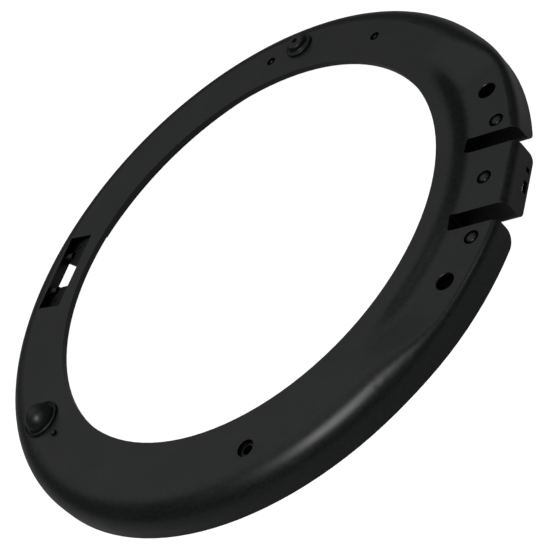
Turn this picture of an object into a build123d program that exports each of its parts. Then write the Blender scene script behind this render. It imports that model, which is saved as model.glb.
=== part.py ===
from build123d import *
import math
import os

# Inner door frame of a front-loading washing machine, with its two push-in door buffers.
# Millimetres. +Z is the normal of the face that looks into the drum, +X points at the hinge,
# and the origin is on the ring's axis in the plane of the rim's lower edge.

# Driving dimensions
opening_radius = 150.0
rim_radius = 202.0
frame_height = 24.0
wall = 2.8
edge_radius = 17.0
lip_depth = 4.2

# Hinge seat: the lowered sector of the face
seat_drop = 5.0
seat_bulge = 1.0
seat_edge_radius = 5.0
seat_full_angle = 28.0
seat_end_angle = 45.0
seat_slope_start = 157.5
seat_slope_end = 174.0
ramp_sections = 6

# Hinge slots and the block between them
block_half_width = 23.5
slot_width = 11.8
slot_inner_x = 166.0
block_front_x = 202.6
block_room = 20.0
slot_wall = 2.5
slot_end_radius = 1.2
block_corner_radius = 5.0
rim_corner_radius = 9.0

# Core windows in the block's front wall: middle along Y, height of the middle, width, height
core_windows = ((-1.5, 3.6, 9.0, 3.6), (11.2, 3.8, 3.4, 3.2))

# Latch pocket, in its own frame: x outward, y along the ring
pocket_angle = 173.0
pocket_inner = 160.2
pocket_outer = 181.5
pocket_half_length = 30.7
pocket_step = 0.8
pocket_depth = 5.5
pocket_wall = 2.5
window_inner = 162.0
window_start = (-4.6, -13.3)
window_end = (12.7, 10.0)
lug_middles = (-16.5, 13.2)
lug_length = 6.5
lug_reach = 6.5
lug_height = 3.5
drain_x = 171.0
drain_y = 23.0
drain_radius = 1.4
bay_half_length = 40.0

# Relief in the rim's lower edge behind the latch window
relief_start = -34.0
relief_end = 8.0
relief_height = 8.0

# Holes: radius of the hole, then where it is
hinge_hole_radius = 5.75
hinge_hole_circle = 186.8
hinge_hole_angle = 23.0
hinge_hole_chamfer = 0.5
seat_recess_radius = 4.8
seat_recess_depth = 3.6
seat_recess_x = 184.0
seat_recess_y = 44.6
seat_pin_radius = 3.6
seat_pin_stand = 0.8
screw_hole_radius = 3.25
screw_counterbore_radius = 5.75
screw_counterbore_depth = 2.2
screw_hole_circle = 176.0
screw_hole_angle = -70.8
gate_circle = 171.0
gate_angles = (98.1, 65.8)
gate_radius = 3.5
gate_depth = 1.6
gate_pip_radius = 1.5
peg_angle = -133.4
peg_radius = 1.9
peg_height = 2.2

# Door buffers
top_buffer_angle = 90.0
lower_buffer_angle = -140.8
buffer_circle = 174.8
buffer_hole_radius = 4.1
stem_clearance = 0.1
lower_buffer_foot_radius = 13.6
lower_buffer_dome_radius = 10.6
lower_buffer_dome_centre = 0.6
top_buffer_foot_radius = 10.4
top_buffer_cap_radius = 7.2
top_buffer_waist = 2.4
top_buffer_height = 5.8
top_buffer_rounding = 1.5
top_buffer_hole_radius = 2.1
top_buffer_hole_depth = 3.8
foot_thickness = 2.0
foot_groove = 1.2
barb_radius = 5.2
barb_shoulder = 1.4
barb_tip_radius = 2.4
barb_length = 4.6
barb_room_radius = 8.0

# Stiffening on the hidden side
rib_thickness = 2.0
rib_count = 24
rib_bottom = 8.6
rib_ring_radii = (168.0, 185.0)
bite = 0.5
boss_wall = 2.4
boss_bottom = 3.0
below = 1.0

face_z = frame_height
seat_z = frame_height - seat_drop
skin_bottom = face_z - wall


def polar(radius, angle, z=0.0):
    """Point at a radius and an angle from +X, in degrees."""
    turn = math.radians(angle)
    return Vector(radius * math.cos(turn), radius * math.sin(turn), z)


def section_plane(angle):
    """Upright plane through the axis: local x runs outward, local y is up."""
    turn = math.radians(angle)
    outward = (math.cos(turn), math.sin(turn), 0)
    normal = (math.sin(turn), -math.cos(turn), 0)
    return Plane(origin=(0, 0, 0), x_dir=outward, z_dir=normal)


def outline(drop, inset, inner, front=rim_radius):
    """Closed outline of the frame's section, moved inwards by inset."""
    share = drop / seat_drop
    arc_radius = edge_radius + (seat_edge_radius - edge_radius) * share - inset
    top = face_z - inset
    low = top - drop
    bottom = -below if inset else 0.0
    outer = front + seat_bulge * share - inset
    slope_start = seat_slope_start - inset / 2
    slope_end = seat_slope_end - inset / 2
    middle = (slope_start + slope_end) / 2
    lines = [
        Line((inner, bottom), (inner, top)),
        Line((inner, top), (slope_start, top)),
        Bezier((slope_start, top), (middle, top), (middle, low), (slope_end, low)),
        Line((slope_end, low), (outer - arc_radius, low)),
        CenterArc((outer - arc_radius, low - arc_radius), arc_radius, 0, 90),
        Line((outer, low - arc_radius), (outer, bottom)),
        Line((outer, bottom), (inner, bottom)),
    ]
    return make_face(Wire(lines).edges())


def sector(drop, inset, inner, start, sweep):
    """The section turned about the axis, from a start angle through a sweep."""
    plane = section_plane(start)
    return revolve(plane * outline(drop, inset, inner), axis=Axis.Z, revolution_arc=sweep)


def ramp(inset, inner, side):
    """The stretch where the face falls from its own level to the hinge seat."""
    sections = []
    for step in range(ramp_sections + 1):
        share = step / ramp_sections
        angle = seat_full_angle + (seat_end_angle - seat_full_angle) * share
        drop = seat_drop * (1 + math.cos(math.pi * share)) / 2
        sections.append(section_plane(side * angle) * outline(drop, inset, inner))
    return loft(sections)


def ring_form(inset, inner):
    """Whole ring, solid, with the hinge seat let into its face."""
    plain = sector(0.0, inset, inner, seat_end_angle, 360 - 2 * seat_end_angle)
    seat = sector(seat_drop, inset, inner, -seat_full_angle, 2 * seat_full_angle)
    ring = plain + seat + ramp(inset, inner, 1) + ramp(inset, inner, -1)
    return ring - block_place() + block_form(inset)


def block_place():
    """Stretch of the ring's outer edge that the block takes the place of."""
    width = 2 * block_half_width + slot_width
    return Pos(block_front_x, 0, 0) * Box(block_room, width, 3 * frame_height)


def block_form(inset):
    """Straight-fronted block between the hinge slots."""
    half = block_half_width - inset
    section = outline(seat_drop, inset, slot_inner_x, block_front_x - seat_bulge)
    upright = Plane(origin=(0, half, 0), x_dir=(1, 0, 0), z_dir=(0, -1, 0))
    return extrude(upright * section, amount=2 * half) & block_place()


def upright_box(x0, x1, y0, y1, z0, z1):
    """Box between two corners."""
    box = Box(x1 - x0, y1 - y0, z1 - z0, align=(Align.MIN, Align.MIN, Align.MIN))
    return Pos(x0, y0, z0) * box


def post(radius, place, z0, z1):
    """Upright cylinder between two heights."""
    cylinder = Cylinder(radius, z1 - z0, align=(Align.CENTER, Align.CENTER, Align.MIN))
    return Pos(place.X, place.Y, z0) * cylinder


def turned(lines):
    """Solid turned from a closed half outline about Z."""
    half = Plane.XZ * make_face(Wire(lines).edges())
    return revolve(half, axis=Axis.Z)


def pocket_frame():
    """Location whose x runs outward through the latch pocket's middle."""
    return Rot(0, 0, pocket_angle)


def ribs():
    """Radial ribs and rib rings behind the face."""
    inner = rib_ring_radii[0]
    length = rim_radius + seat_bulge - wall - inner + bite
    depth = skin_bottom + bite - rib_bottom
    rib = Pos(inner + length / 2, 0, rib_bottom + depth / 2) * Box(length, rib_thickness, depth)
    pitch = 360 / rib_count
    parts = [Rot(0, 0, (index + 0.5) * pitch) * rib for index in range(rib_count)]
    for radius in rib_ring_radii:
        outer = Cylinder(radius + rib_thickness, depth)
        hole = Cylinder(radius, depth)
        parts.append(Pos(0, 0, rib_bottom + depth / 2) * (outer - hole))
    half = bay_half_length
    bay = upright_box(opening_radius, rim_radius, -half, half, -below, skin_bottom)
    return (Part() + parts) - pocket_frame() * bay


def slot_walls():
    """Side and end walls that close the hinge slots towards the hollow of the frame."""
    edge = block_half_width + slot_width + slot_wall
    start = slot_inner_x - slot_wall
    walls = []
    for side in (1, -1):
        low, high = sorted((side * (block_half_width - slot_wall), side * edge))
        walls.append(upright_box(start, rim_radius + seat_bulge, low, high, 0, seat_z))
    return walls


def slot_cutters():
    """The two hinge slots, open at the face, through the rim and below."""
    cutters = []
    for side in (1, -1):
        low, high = sorted((side * block_half_width, side * (block_half_width + slot_width)))
        slot = upright_box(slot_inner_x, 2 * rim_radius, low, high, -below, face_z + below)
        cutters.append(fillet(slot.edges().filter_by(Axis.Z).group_by(Axis.X)[0], slot_end_radius))
    return cutters


def slot_corner_cutters():
    """Rounding of the lower corners where the slots come out through the rim."""
    block_edge = block_half_width
    rim_edge = block_half_width + slot_width
    cutters = []
    for side in (1, -1):
        for edge, inward, radius in ((block_edge, -1, block_corner_radius), (rim_edge, 1, rim_corner_radius)):
            centre = side * (edge + inward * radius)
            low, high = sorted((side * (edge - inward * below), centre))
            square = upright_box(slot_inner_x + slot_wall, 2 * rim_radius, low, high, -below, radius)
            rod = Pos(rim_radius, centre, radius) * Rot(0, 90, 0) * Cylinder(radius, 2 * rim_radius)
            cutters.append(square - rod)
    return cutters


def block_windows():
    """Two small core windows in the block's front wall."""
    front = block_front_x - wall / 2
    cutters = []
    for y, z, width, height in core_windows:
        cutters.append(Pos(front, y, z) * Box(2 * wall, width, height))
    return cutters


def along_pocket(corners, half):
    """Solid with these corners in the pocket's section, x outward and z up, over its length."""
    upright = Plane(origin=(0, half, 0), x_dir=(1, 0, 0), z_dir=(0, -1, 0))
    section = make_face(Polyline(*corners, close=True).edges())
    return extrude(upright * section, amount=2 * half)


def pocket_form(inner, outer, sink, top, half):
    """Pocket whose floor falls outwards, its floor lowered by sink."""
    corners = [
        (inner, top),
        (inner, face_z - pocket_step - sink),
        (outer, face_z - pocket_depth - sink),
        (outer, top),
    ]
    return pocket_frame() * along_pocket(corners, half)


def pocket_box():
    """Outer form of the latch pocket's own walls, below the face."""
    return pocket_form(
        pocket_inner - pocket_wall,
        pocket_outer + pocket_wall,
        pocket_wall,
        skin_bottom + bite,
        pocket_half_length + pocket_wall,
    )


def window_cutter():
    """The latch window, slanted at one end, through the pocket's floor."""
    corners = [
        (window_inner, window_start[0]),
        (pocket_outer, window_start[1]),
        (pocket_outer, window_end[1]),
        (window_inner, window_end[0]),
    ]
    section = make_face(Polyline(*corners, close=True).edges())
    return Pos(0, 0, -below) * extrude(section, amount=face_z + 2 * below)


def pocket_cutters():
    """The latch pocket, its window and the two drain holes."""
    hollow = pocket_form(pocket_inner, pocket_outer, 0, face_z + below, pocket_half_length)
    cutters = [hollow, pocket_frame() * window_cutter()]
    for side in (1, -1):
        hole = post(drain_radius, Vector(drain_x, side * drain_y, 0), -below, face_z)
        cutters.append(pocket_frame() * hole)
    return cutters


def pocket_lugs():
    """Two round-topped lugs against the pocket's outer wall, either side of the window."""
    floor = face_z - pocket_depth
    lugs = []
    start = pocket_outer - lug_reach
    end = pocket_outer + bite
    for middle in lug_middles:
        low = middle - lug_length / 2
        high = middle + lug_length / 2
        lug = upright_box(start, end, low, high, floor - bite, floor + lug_height)
        top = lug.edges().filter_by(Axis.X).group_by(Axis.Z)[-1]
        lugs.append(pocket_frame() * fillet(top, lug_length / 2 - bite))
    return lugs


def rim_relief():
    """Relief in the rim's lower edge behind the latch window."""
    return pocket_frame() * upright_box(
        pocket_outer + pocket_wall, 2 * rim_radius, relief_start, relief_end, -below, relief_height
    )


def seat_recess_places():
    """Middles of the three small recesses beside and between the hinge slots."""
    return [Vector(seat_recess_x, side * seat_recess_y, 0) for side in (1, 0, -1)]


def hinge_hole_places():
    """Middles of the two hinge screw holes."""
    return [polar(hinge_hole_circle, side * hinge_hole_angle) for side in (1, -1)]


def bosses():
    """Columns of material round every hole and recess."""
    parts = []
    for place in hinge_hole_places():
        parts.append(post(hinge_hole_radius + boss_wall, place, boss_bottom, seat_z - wall / 2))
    for place in seat_recess_places():
        parts.append(post(seat_recess_radius + boss_wall, place, seat_z - 3 * wall, seat_z - wall / 2))
    screw = polar(screw_hole_circle, screw_hole_angle)
    column = screw_counterbore_radius + boss_wall / 2
    parts.append(post(column, screw, boss_bottom, skin_bottom + bite))
    for angle in gate_angles:
        place = polar(gate_circle, angle)
        parts.append(post(gate_radius + boss_wall, place, skin_bottom - wall, skin_bottom + bite))
    return parts


def hinge_hole_rim():
    """Cone that breaks the upper edge of a hinge hole."""
    half = 2 * hinge_hole_chamfer
    return Cone(hinge_hole_radius - half / 2, hinge_hole_radius + 1.5 * half, 2 * half)


def round_cutters():
    """Every round hole and recess of the frame."""
    cutters = []
    for place in hinge_hole_places():
        cutters.append(post(hinge_hole_radius, place, -below, face_z))
        cutters.append(Pos(place.X, place.Y, seat_z) * hinge_hole_rim())
    for place in seat_recess_places():
        cutters.append(post(seat_recess_radius, place, seat_z - seat_recess_depth, face_z))
    screw = polar(screw_hole_circle, screw_hole_angle)
    cutters.append(post(screw_hole_radius, screw, -below, face_z + below))
    cutters.append(
        post(screw_counterbore_radius, screw, face_z - screw_counterbore_depth, face_z + below)
    )
    for angle in gate_angles:
        cutters.append(post(gate_radius, polar(gate_circle, angle), face_z - gate_depth, face_z + below))
    for angle in (top_buffer_angle, lower_buffer_angle):
        place = polar(buffer_circle, angle)
        cutters.append(post(buffer_hole_radius, place, -below, face_z + below))
    return cutters


def pip(radius, place, foot, height):
    """Small round-topped pin standing on a floor."""
    shoulder = height - 0.5 * radius
    return turned([
        Line((0, -bite), (radius, -bite)),
        Line((radius, -bite), (radius, shoulder)),
        Bezier((radius, shoulder), (radius, height), (0, height)),
        Line((0, height), (0, -bite)),
    ]).moved(Location((place.X, place.Y, foot)))


def pips():
    """Pins in the recesses, and the small peg beside the lower buffer."""
    parts = []
    for place in seat_recess_places():
        height = seat_recess_depth + seat_pin_stand
        parts.append(pip(seat_pin_radius, place, seat_z - seat_recess_depth, height))
    for angle in gate_angles:
        parts.append(pip(gate_pip_radius, polar(gate_circle, angle), face_z - gate_depth, gate_depth))
    parts.append(pip(peg_radius, polar(gate_circle, peg_angle), face_z, peg_height))
    return parts


def buffer_holes_clearance():
    """Room under the face for the buffers' barbs."""
    places = [polar(buffer_circle, angle) for angle in (top_buffer_angle, lower_buffer_angle)]
    return [post(barb_room_radius, place, -below, skin_bottom) for place in places]


def inner_work():
    """Ribs, slot walls, pocket walls and bosses, kept inside the frame's hollow."""
    fill = ring_form(wall / 2, opening_radius + wall / 2)
    work = ribs() + slot_walls() + [pocket_box()] + bosses()
    return (work & fill) - buffer_holes_clearance()


def build_frame():
    """The moulded ring, one piece."""
    frame = ring_form(0, opening_radius)
    frame -= ring_form(wall, opening_radius + wall)
    below_lip = face_z - lip_depth
    frame -= post(opening_radius + wall + bite, Vector(0, 0, 0), -below, below_lip)
    frame += inner_work()
    frame -= slot_cutters()
    frame -= slot_corner_cutters()
    frame -= block_windows()
    frame -= pocket_cutters()
    frame -= round_cutters()
    frame -= rim_relief()
    frame += pocket_lugs()
    frame += pips()
    return frame


def stem_lines(foot_radius):
    """Half outline of a push-in stem with a barb, from the axis out to the foot's edge."""
    stem = buffer_hole_radius - stem_clearance
    edge = foot_radius - foot_thickness / 2
    tip = -wall - barb_length
    return [
        Line((0, tip), (barb_tip_radius, tip)),
        Line((barb_tip_radius, tip), (barb_radius, -wall - barb_shoulder)),
        Line((barb_radius, -wall - barb_shoulder), (stem, -wall - stem_clearance)),
        Line((stem, -wall - stem_clearance), (stem, 0)),
        Line((stem, 0), (edge, 0)),
        CenterArc((edge, foot_thickness / 2), foot_thickness / 2, -90, 180),
    ]


def foot_curve(foot_radius, body_radius, height):
    """Hollowed upper side of the foot, from its edge in to the body."""
    start = (foot_radius - foot_thickness / 2, foot_thickness)
    middle = ((foot_radius + body_radius) / 2, foot_thickness - foot_groove)
    return Bezier(start, middle, (body_radius, height))


def on_face(lines, angle):
    """Solid turned from a half outline, standing on the face over a buffer hole."""
    return Location(polar(buffer_circle, angle, face_z)) * turned(lines)


def lower_buffer():
    """Half-round buffer on a thin foot."""
    dome = lower_buffer_dome_radius
    centre = lower_buffer_dome_centre
    lines = stem_lines(lower_buffer_foot_radius)
    lines += [
        foot_curve(lower_buffer_foot_radius, dome, centre),
        CenterArc((0, centre), dome, 0, 90),
        Line((0, centre + dome), (0, -wall - barb_length)),
    ]
    return on_face(lines, lower_buffer_angle)


def top_buffer():
    """Flat-topped buffer with a small blind hole, on a flared foot."""
    cap = top_buffer_cap_radius
    top = top_buffer_height
    round_start = cap - top_buffer_rounding
    waist = top_buffer_waist
    hole_floor = top - top_buffer_hole_depth
    lines = stem_lines(top_buffer_foot_radius)
    lines += [
        foot_curve(top_buffer_foot_radius, cap, waist),
        Line((cap, waist), (cap, top - top_buffer_rounding)),
        CenterArc((round_start, top - top_buffer_rounding), top_buffer_rounding, 0, 90),
        Line((round_start, top), (top_buffer_hole_radius, top)),
        Line((top_buffer_hole_radius, top), (top_buffer_hole_radius, hole_floor)),
        Line((top_buffer_hole_radius, hole_floor), (0, hole_floor)),
        Line((0, hole_floor), (0, -wall - barb_length)),
    ]
    return on_face(lines, top_buffer_angle)


os.makedirs("parts", exist_ok=True)
export_step(build_frame(), "parts/inner_door_frame.step")
export_step(top_buffer(), "parts/top_door_buffer.step")
export_step(lower_buffer(), "parts/lower_door_buffer.step")
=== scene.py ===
import bpy
import math
from mathutils import Matrix, Vector


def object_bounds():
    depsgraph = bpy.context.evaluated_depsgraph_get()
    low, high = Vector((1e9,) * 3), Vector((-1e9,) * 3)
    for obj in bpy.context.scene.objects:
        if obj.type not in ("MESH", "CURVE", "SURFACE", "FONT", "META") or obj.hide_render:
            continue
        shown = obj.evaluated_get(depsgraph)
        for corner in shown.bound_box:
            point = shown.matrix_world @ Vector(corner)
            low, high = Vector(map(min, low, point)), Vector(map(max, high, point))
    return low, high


# Inner door frame of a washing machine lying on a pale floor, its rear face up.
# Metres, in the frame of the CAD model: +Z out of the rear face, +X towards the hinge.

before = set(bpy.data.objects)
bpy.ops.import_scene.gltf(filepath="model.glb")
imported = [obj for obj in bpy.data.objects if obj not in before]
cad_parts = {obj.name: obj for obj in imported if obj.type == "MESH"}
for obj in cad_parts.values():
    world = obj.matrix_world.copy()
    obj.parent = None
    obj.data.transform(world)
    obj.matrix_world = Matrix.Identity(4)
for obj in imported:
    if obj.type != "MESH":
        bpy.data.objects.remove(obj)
cad_low, cad_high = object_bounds()

# Where the picture is taken from: a point on the face, and the way to the camera from it
aim = Vector((0.0422, -0.0383, 0.0240))
camera_azimuth = 47.03
camera_elevation = 34.15
camera_roll = -46.26
camera_distance = 1.0743
camera_lens = 114.3
camera_shift = (-0.0014, 0.0005)

# Grey of the room, and of the paler patch of it beyond the object: where the patch is, seen
# from the object, the angle from its middle that is fully pale, and the angle where it ends
room_tone = 0.042
backdrop_tone = 0.45
backdrop_azimuth = camera_azimuth + 188
backdrop_elevation = 56
backdrop_core = 10
backdrop_reach = 40

# Floor: its radius, its strength as a lamp when looked at, and when it lights the object
floor_radius = 12.0
floor_corners = 96
floor_seen_strength = 1.0
floor_lamp_strength = 0.09

# Colours: the darker and the lighter part of each surface's mottling, the plastic's worn edges, and
# the painted shade laid into its slots, holes and corners
plastic_dark = (0.0075, 0.0085, 0.0085, 1)
plastic_light = (0.0165, 0.0185, 0.018, 1)
plastic_worn = (0.045, 0.048, 0.047, 1)
plastic_painted_shade = (0.0015, 0.0016, 0.0016, 1)
rubber_dark = (0.009, 0.011, 0.010, 1)
rubber_light = (0.020, 0.023, 0.021, 1)
paper_dark = (0.22, 0.22, 0.22, 1)
paper_light = (0.25, 0.25, 0.25, 1)


# ---- materials -----------------------------------------------------------------------------

class Nodes:
    """Short way to add nodes to a material and link them."""

    def __init__(self, name):
        self.material = bpy.data.materials.new(name)
        self.material.use_nodes = True
        self.tree = self.material.node_tree
        self.shader = self.tree.nodes["Principled BSDF"]

    def add(self, kind, links=None, **settings):
        """New node with its settings; links names its inputs and what feeds them."""
        node = self.tree.nodes.new(kind)
        for key, value in settings.items():
            setattr(node, key, value)
        for socket, source in (links or {}).items():
            self.feed(node.inputs[socket], source)
        return node

    def feed(self, socket, source):
        """Link an output to a socket, or set the socket's own value."""
        if isinstance(source, bpy.types.NodeSocket):
            self.tree.links.new(source, socket)
        else:
            socket.default_value = source

    def place(self):
        """Position on the object, in metres."""
        return self.add("ShaderNodeTexCoord").outputs["Object"]

    def noise(self, where, grain, detail=4.0, roughness=0.6):
        """Noise whose features are about a grain across, in metres."""
        links = {"Vector": where, "Scale": 1.0 / grain, "Detail": detail, "Roughness": roughness}
        return self.add("ShaderNodeTexNoise", links).outputs["Fac"]

    def spread(self, value, low, high, out_low, out_high):
        """Value carried from one range onto another, held at its ends."""
        links = {
            "Value": value,
            "From Min": low,
            "From Max": high,
            "To Min": out_low,
            "To Max": out_high,
        }
        return self.add("ShaderNodeMapRange", links).outputs["Result"]

    def blend(self, share, first, second):
        """Colour between two colours."""
        node = self.add("ShaderNodeMix", data_type="RGBA")
        self.feed(node.inputs["Factor"], share)
        self.feed(node.inputs[6], first)
        self.feed(node.inputs[7], second)
        return node.outputs[2]

    def math(self, operation, first, second):
        """Arithmetic on two values."""
        node = self.add("ShaderNodeMath", operation=operation)
        self.feed(node.inputs[0], first)
        self.feed(node.inputs[1], second)
        return node.outputs[0]

    def edges(self, radius, low, high):
        """1 along edges as wide as the radius, 0 elsewhere."""
        soft = self.add("ShaderNodeBevel", {"Radius": radius}, samples=6).outputs["Normal"]
        true = self.add("ShaderNodeNewGeometry").outputs["Normal"]
        dot = self.add("ShaderNodeVectorMath", {0: soft, 1: true}, operation="DOT_PRODUCT")
        return self.spread(dot.outputs["Value"], high, low, 0.0, 1.0)

    def shade_free_share(self, reach, low, high):
        """Mask for painted shade: 0 deep in slots, holes and corners, 1 in the open."""
        settings = {"samples": 8, "only_local": True}
        share = self.add("ShaderNodeAmbientOcclusion", {"Distance": reach}, **settings).outputs["AO"]
        return self.spread(share, low, high, 0.0, 1.0)

    def bump(self, height, distance, strength, normal=None):
        """Surface relief."""
        links = {"Height": height, "Distance": distance, "Strength": strength}
        if normal is not None:
            links["Normal"] = normal
        return self.add("ShaderNodeBump", links).outputs["Normal"]


def moulded_plastic():
    """Black moulded plastic: satin, faintly mottled, worn along its edges, with painted shade
    darkening it and dimming its shine in holes, slots and corners.
    """
    make = Nodes("moulded_plastic")
    where = make.place()
    clouds = make.noise(where, 0.035, 3.0)
    mottle = make.noise(where, 0.0022, 5.0, 0.7)
    grain = make.noise(where, 0.00035, 2.0)
    wear = make.edges(0.0006, 0.90, 0.995)
    worn = make.math("MULTIPLY", wear, make.spread(clouds, 0.40, 0.62, 0.15, 0.8))
    base = make.blend(make.spread(mottle, 0.35, 0.68, 0.0, 1.0), plastic_dark, plastic_light)
    colour = make.blend(worn, base, plastic_worn)
    # Painted shade: the colour goes to near black and the shine drops deep in slots, holes and
    # corners
    unshaded_share = make.shade_free_share(0.022, 0.5, 0.93)
    colour = make.blend(unshaded_share, plastic_painted_shade, colour)
    shade_dimmed_shine = make.spread(unshaded_share, 0.0, 1.0, 0.12, 0.5)
    broad_rough = make.spread(clouds, 0.3, 0.7, 0.30, 0.38)
    fine_rough = make.spread(mottle, 0.3, 0.7, -0.03, 0.04)
    rough = make.math("ADD", broad_rough, fine_rough)
    rounded = make.add("ShaderNodeBevel", {"Radius": 0.0005}, samples=6).outputs["Normal"]
    relief = make.bump(grain, 0.00003, 0.35, rounded)
    relief = make.bump(clouds, 0.0006, 0.12, relief)
    make.feed(make.shader.inputs["Base Color"], colour)
    make.feed(make.shader.inputs["Specular IOR Level"], shade_dimmed_shine)
    make.feed(make.shader.inputs["Roughness"], rough)
    make.feed(make.shader.inputs["Normal"], relief)
    make.shader.inputs["IOR"].default_value = 1.5
    return make.material


def buffer_rubber():
    """Black rubber: a little more matt than the plastic, with a bloom of dust."""
    make = Nodes("buffer_rubber")
    where = make.place()
    dust = make.noise(where, 0.0015, 5.0, 0.75)
    clouds = make.noise(where, 0.012, 2.0)
    colour = make.blend(make.spread(dust, 0.45, 0.75, 0.0, 1.0), rubber_dark, rubber_light)
    fine_rough = make.spread(dust, 0.3, 0.7, 0.34, 0.48)
    broad_rough = make.spread(clouds, 0.3, 0.7, -0.04, 0.04)
    rough = make.math("ADD", fine_rough, broad_rough)
    make.feed(make.shader.inputs["Base Color"], colour)
    make.feed(make.shader.inputs["Roughness"], rough)
    make.feed(make.shader.inputs["Normal"], make.bump(dust, 0.00005, 0.4))
    return make.material


def floor_paper():
    """Plain pale studio floor, bright to look at but weak as a light on the object."""
    make = Nodes("floor_paper")
    fibres = make.noise(make.place(), 0.004, 4.0)
    seen = make.add("ShaderNodeLightPath").outputs["Is Camera Ray"]
    strength = make.spread(seen, 0.0, 1.0, floor_lamp_strength, floor_seen_strength)
    make.feed(make.shader.inputs["Base Color"], make.blend(fibres, paper_dark, paper_light))
    make.shader.inputs["Roughness"].default_value = 0.9
    make.shader.inputs["Specular IOR Level"].default_value = 0.1
    make.shader.inputs["Emission Color"].default_value = (1, 1, 1, 1)
    make.feed(make.shader.inputs["Emission Strength"], strength)
    return make.material


def paint(name, material):
    """Give a CAD node its material in every slot."""
    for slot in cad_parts[name].material_slots:
        slot.material = material


plastic = moulded_plastic()
rubber = buffer_rubber()
paint("inner_door_frame", plastic)
paint("top_door_buffer", rubber)
paint("lower_door_buffer", rubber)


# ---- floor, light and camera ---------------------------------------------------------------

def way(azimuth, elevation):
    """Direction from the object: azimuth 0 is towards -Y and 90 towards +X, in degrees."""
    turn = math.radians(azimuth)
    lift = math.radians(elevation)
    return Vector((math.sin(turn) * math.cos(lift), -math.cos(turn) * math.cos(lift), math.sin(lift)))


def studio_floor():
    """Large round floor under the object."""
    mesh = bpy.data.meshes.new("studio_floor")
    corners = []
    for index in range(floor_corners):
        turn = math.tau * index / floor_corners
        corners.append((floor_radius * math.cos(turn), floor_radius * math.sin(turn), 0))
    mesh.from_pydata(corners, [], [list(range(floor_corners))])
    mesh.materials.append(floor_paper())
    floor = bpy.data.objects.new("studio_floor", mesh)
    floor.location.z = cad_low.z
    bpy.context.scene.collection.objects.link(floor)


def facing_back(out):
    """Turn that points something's own -Z at the object, when it stands out along this direction."""
    return out.to_track_quat("Z", "Y").to_matrix().to_4x4()


def soft_light(name, azimuth, elevation, distance, wide, long, power):
    """Rectangular soft light that faces the object."""
    light = bpy.data.lights.new(name, "AREA")
    light.shape = "RECTANGLE"
    light.size = wide
    light.size_y = long
    light.energy = power
    lamp = bpy.data.objects.new(name, light)
    out = way(azimuth, elevation)
    lamp.matrix_world = Matrix.Translation(out * distance) @ facing_back(out)
    bpy.context.scene.collection.objects.link(lamp)


def studio_world():
    """Dim room with a paler patch high on the far side of the object."""
    world = bpy.data.worlds.new("studio_world")
    world.use_nodes = True
    nodes = world.node_tree.nodes
    links = world.node_tree.links
    place = nodes.new("ShaderNodeTexCoord")
    facing = nodes.new("ShaderNodeVectorMath")
    facing.operation = "DOT_PRODUCT"
    facing.inputs[1].default_value = way(backdrop_azimuth, backdrop_elevation)
    share = nodes.new("ShaderNodeMapRange")
    share.interpolation_type = "SMOOTHERSTEP"
    share.inputs["From Min"].default_value = math.cos(math.radians(backdrop_reach))
    share.inputs["From Max"].default_value = math.cos(math.radians(backdrop_core))
    shade = nodes.new("ShaderNodeMix")
    shade.data_type = "RGBA"
    shade.inputs[6].default_value = (room_tone, room_tone, room_tone, 1)
    shade.inputs[7].default_value = (backdrop_tone, backdrop_tone, backdrop_tone, 1)
    links.new(place.outputs["Generated"], facing.inputs[0])
    links.new(facing.outputs["Value"], share.inputs["Value"])
    links.new(share.outputs["Result"], shade.inputs["Factor"])
    links.new(shade.outputs[2], nodes["Background"].inputs["Color"])
    bpy.context.scene.world = world


def main_camera():
    """Camera at the picture's angle."""
    lens = bpy.data.cameras.new("main_camera")
    lens.lens = camera_lens
    lens.sensor_width = 36.0
    lens.clip_end = 100.0
    lens.shift_x, lens.shift_y = camera_shift
    camera = bpy.data.objects.new("main_camera", lens)
    back = way(camera_azimuth, camera_elevation)
    roll = Matrix.Rotation(math.radians(camera_roll), 4, "Z")
    camera.matrix_world = Matrix.Translation(aim + back * camera_distance) @ facing_back(back) @ roll
    bpy.context.scene.collection.objects.link(camera)
    bpy.context.scene.camera = camera


studio_floor()
studio_world()
soft_light("key_light", 20, 57, 1.8, 0.7, 0.8, 11)
soft_light("side_light", 112, 58, 2.2, 0.15, 0.15, 1.5)
main_camera()
bpy.context.scene.view_settings.view_transform = "Standard"
